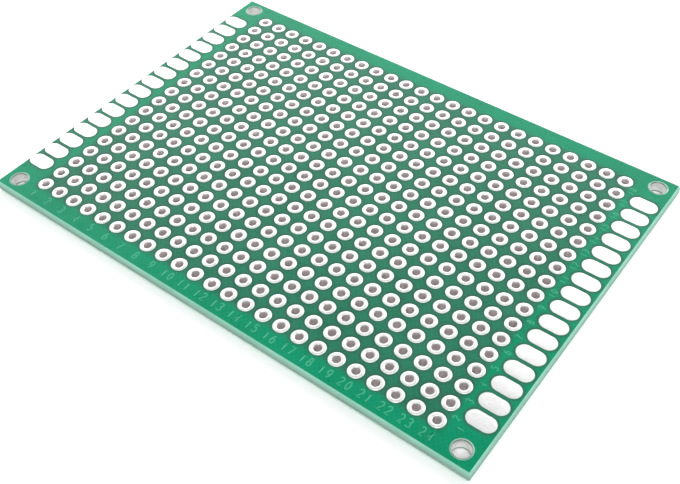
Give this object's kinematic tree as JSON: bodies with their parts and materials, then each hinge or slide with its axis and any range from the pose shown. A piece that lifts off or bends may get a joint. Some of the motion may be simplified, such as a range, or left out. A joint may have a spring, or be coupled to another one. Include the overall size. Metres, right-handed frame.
{
  "type": "prototype board",
  "caption": "Double-sided plated-through prototype board: a thin scored laminate sheet with a grid of round solder lands, oblong lands at both ends and corner mounting holes.",
  "frame": {"origin": "centre of the underside, level with the outer faces of the lower lands", "axes": "+X along the length, +Y along the width away from the column numbers, +Z out of the numbered face"},
  "size_m": [0.07, 0.05, 0.0016],
  "materials": {
    "laminate": "glass-fibre and epoxy laminate, translucent pale green, with a scored and snapped edge",
    "solder_mask": "thin green solder mask, semi-gloss, with the laminate showing through",
    "tinned_plating": "bright tin over copper, slightly domed and grainy",
    "numerals": "thin raised strokes of copper under the green solder mask, a little lighter than the field"
  },
  "bodies": {
    "root": {"laminate": "laminate", "solder_mask_top": "solder_mask", "solder_mask_bottom": "solder_mask", "plated_holes_row_01": "tinned_plating", "plated_holes_row_02": "tinned_plating", "plated_holes_row_03": "tinned_plating", "plated_holes_row_04": "tinned_plating", "plated_holes_row_05": "tinned_plating", "plated_holes_row_06": "tinned_plating", "plated_holes_row_07": "tinned_plating", "plated_holes_row_08": "tinned_plating", "plated_holes_row_09": "tinned_plating", "plated_holes_row_10": "tinned_plating", "plated_holes_row_11": "tinned_plating", "plated_holes_row_12": "tinned_plating", "plated_holes_row_13": "tinned_plating", "plated_holes_row_14": "tinned_plating", "plated_holes_row_15": "tinned_plating", "plated_holes_row_16": "tinned_plating", "plated_holes_row_17": "tinned_plating", "plated_holes_row_18": "tinned_plating", "end_lands_left_top": "tinned_plating", "end_lands_right_top": "tinned_plating", "end_lands_left_bottom": "tinned_plating", "end_lands_right_bottom": "tinned_plating", "mounting_hole_plating": "tinned_plating", "column_numbers": "numerals", "row_numbers": "numerals"}
  },
  "joints": []
}
